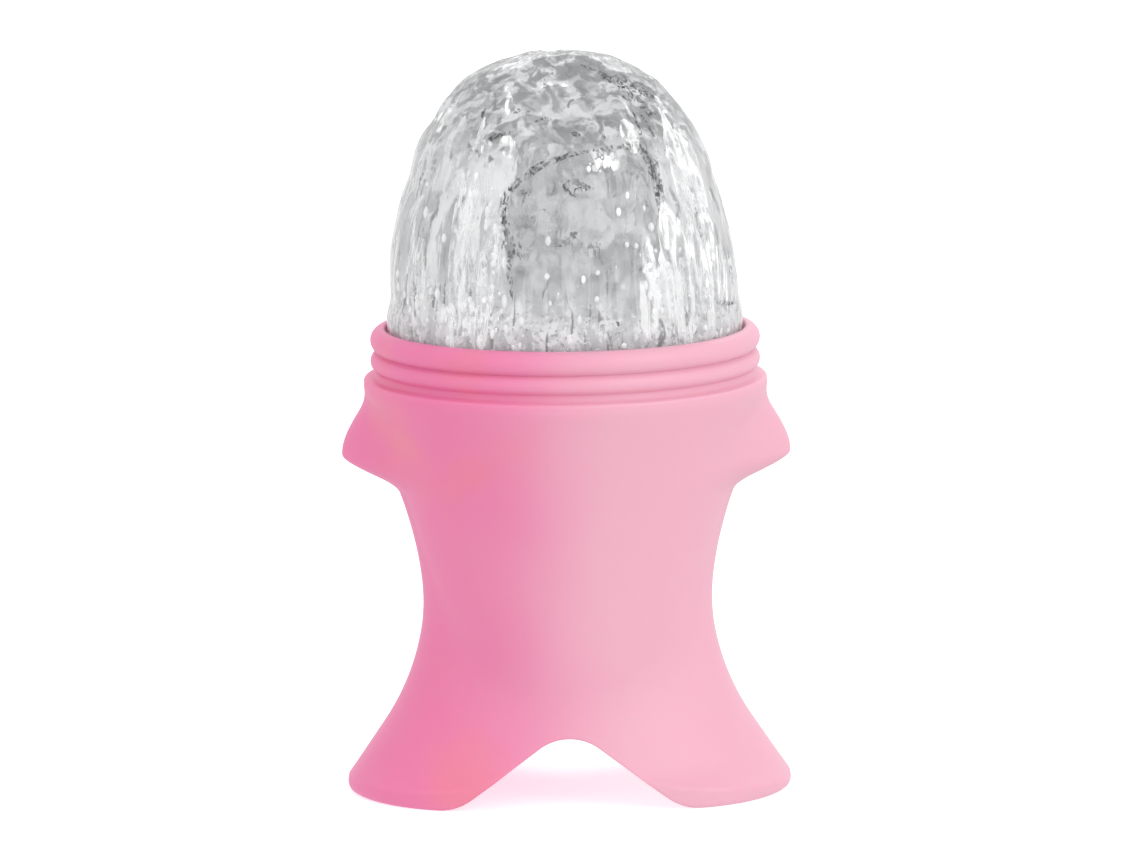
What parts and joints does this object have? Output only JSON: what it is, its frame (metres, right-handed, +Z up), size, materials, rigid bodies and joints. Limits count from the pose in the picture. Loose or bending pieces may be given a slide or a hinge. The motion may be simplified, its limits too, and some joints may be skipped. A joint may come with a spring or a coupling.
{
  "type": "ice massage cup",
  "caption": "Hand-held ice massage cup: a soft silicone holder with a beaded neck, side arms and two splayed feet, holding a domed block of ice.",
  "frame": {"origin": "on the ground, at the middle between the two feet, which is the bottom centre of the bounding box", "axes": "+Z up, along the cup and the dome of ice; X across the two arms and the two feet; Y through the arch between the feet"},
  "size_m": [0.0726, 0.0652, 0.12],
  "materials": {
    "silicone": "soft satin pink silicone rubber, moulded",
    "ice": "wet clear ice with a cloudy core, cracks and bubbles"
  },
  "bodies": {
    "cup": {"silicone_cup": "silicone"},
    "ice": {"ice_block": "ice"}
  },
  "joints": [
    {"name": "ice_lift", "type": "slide", "parent": "cup", "child": "ice", "axis": [0, 0, 1], "range_m": [0, 0.066]}
  ]
}
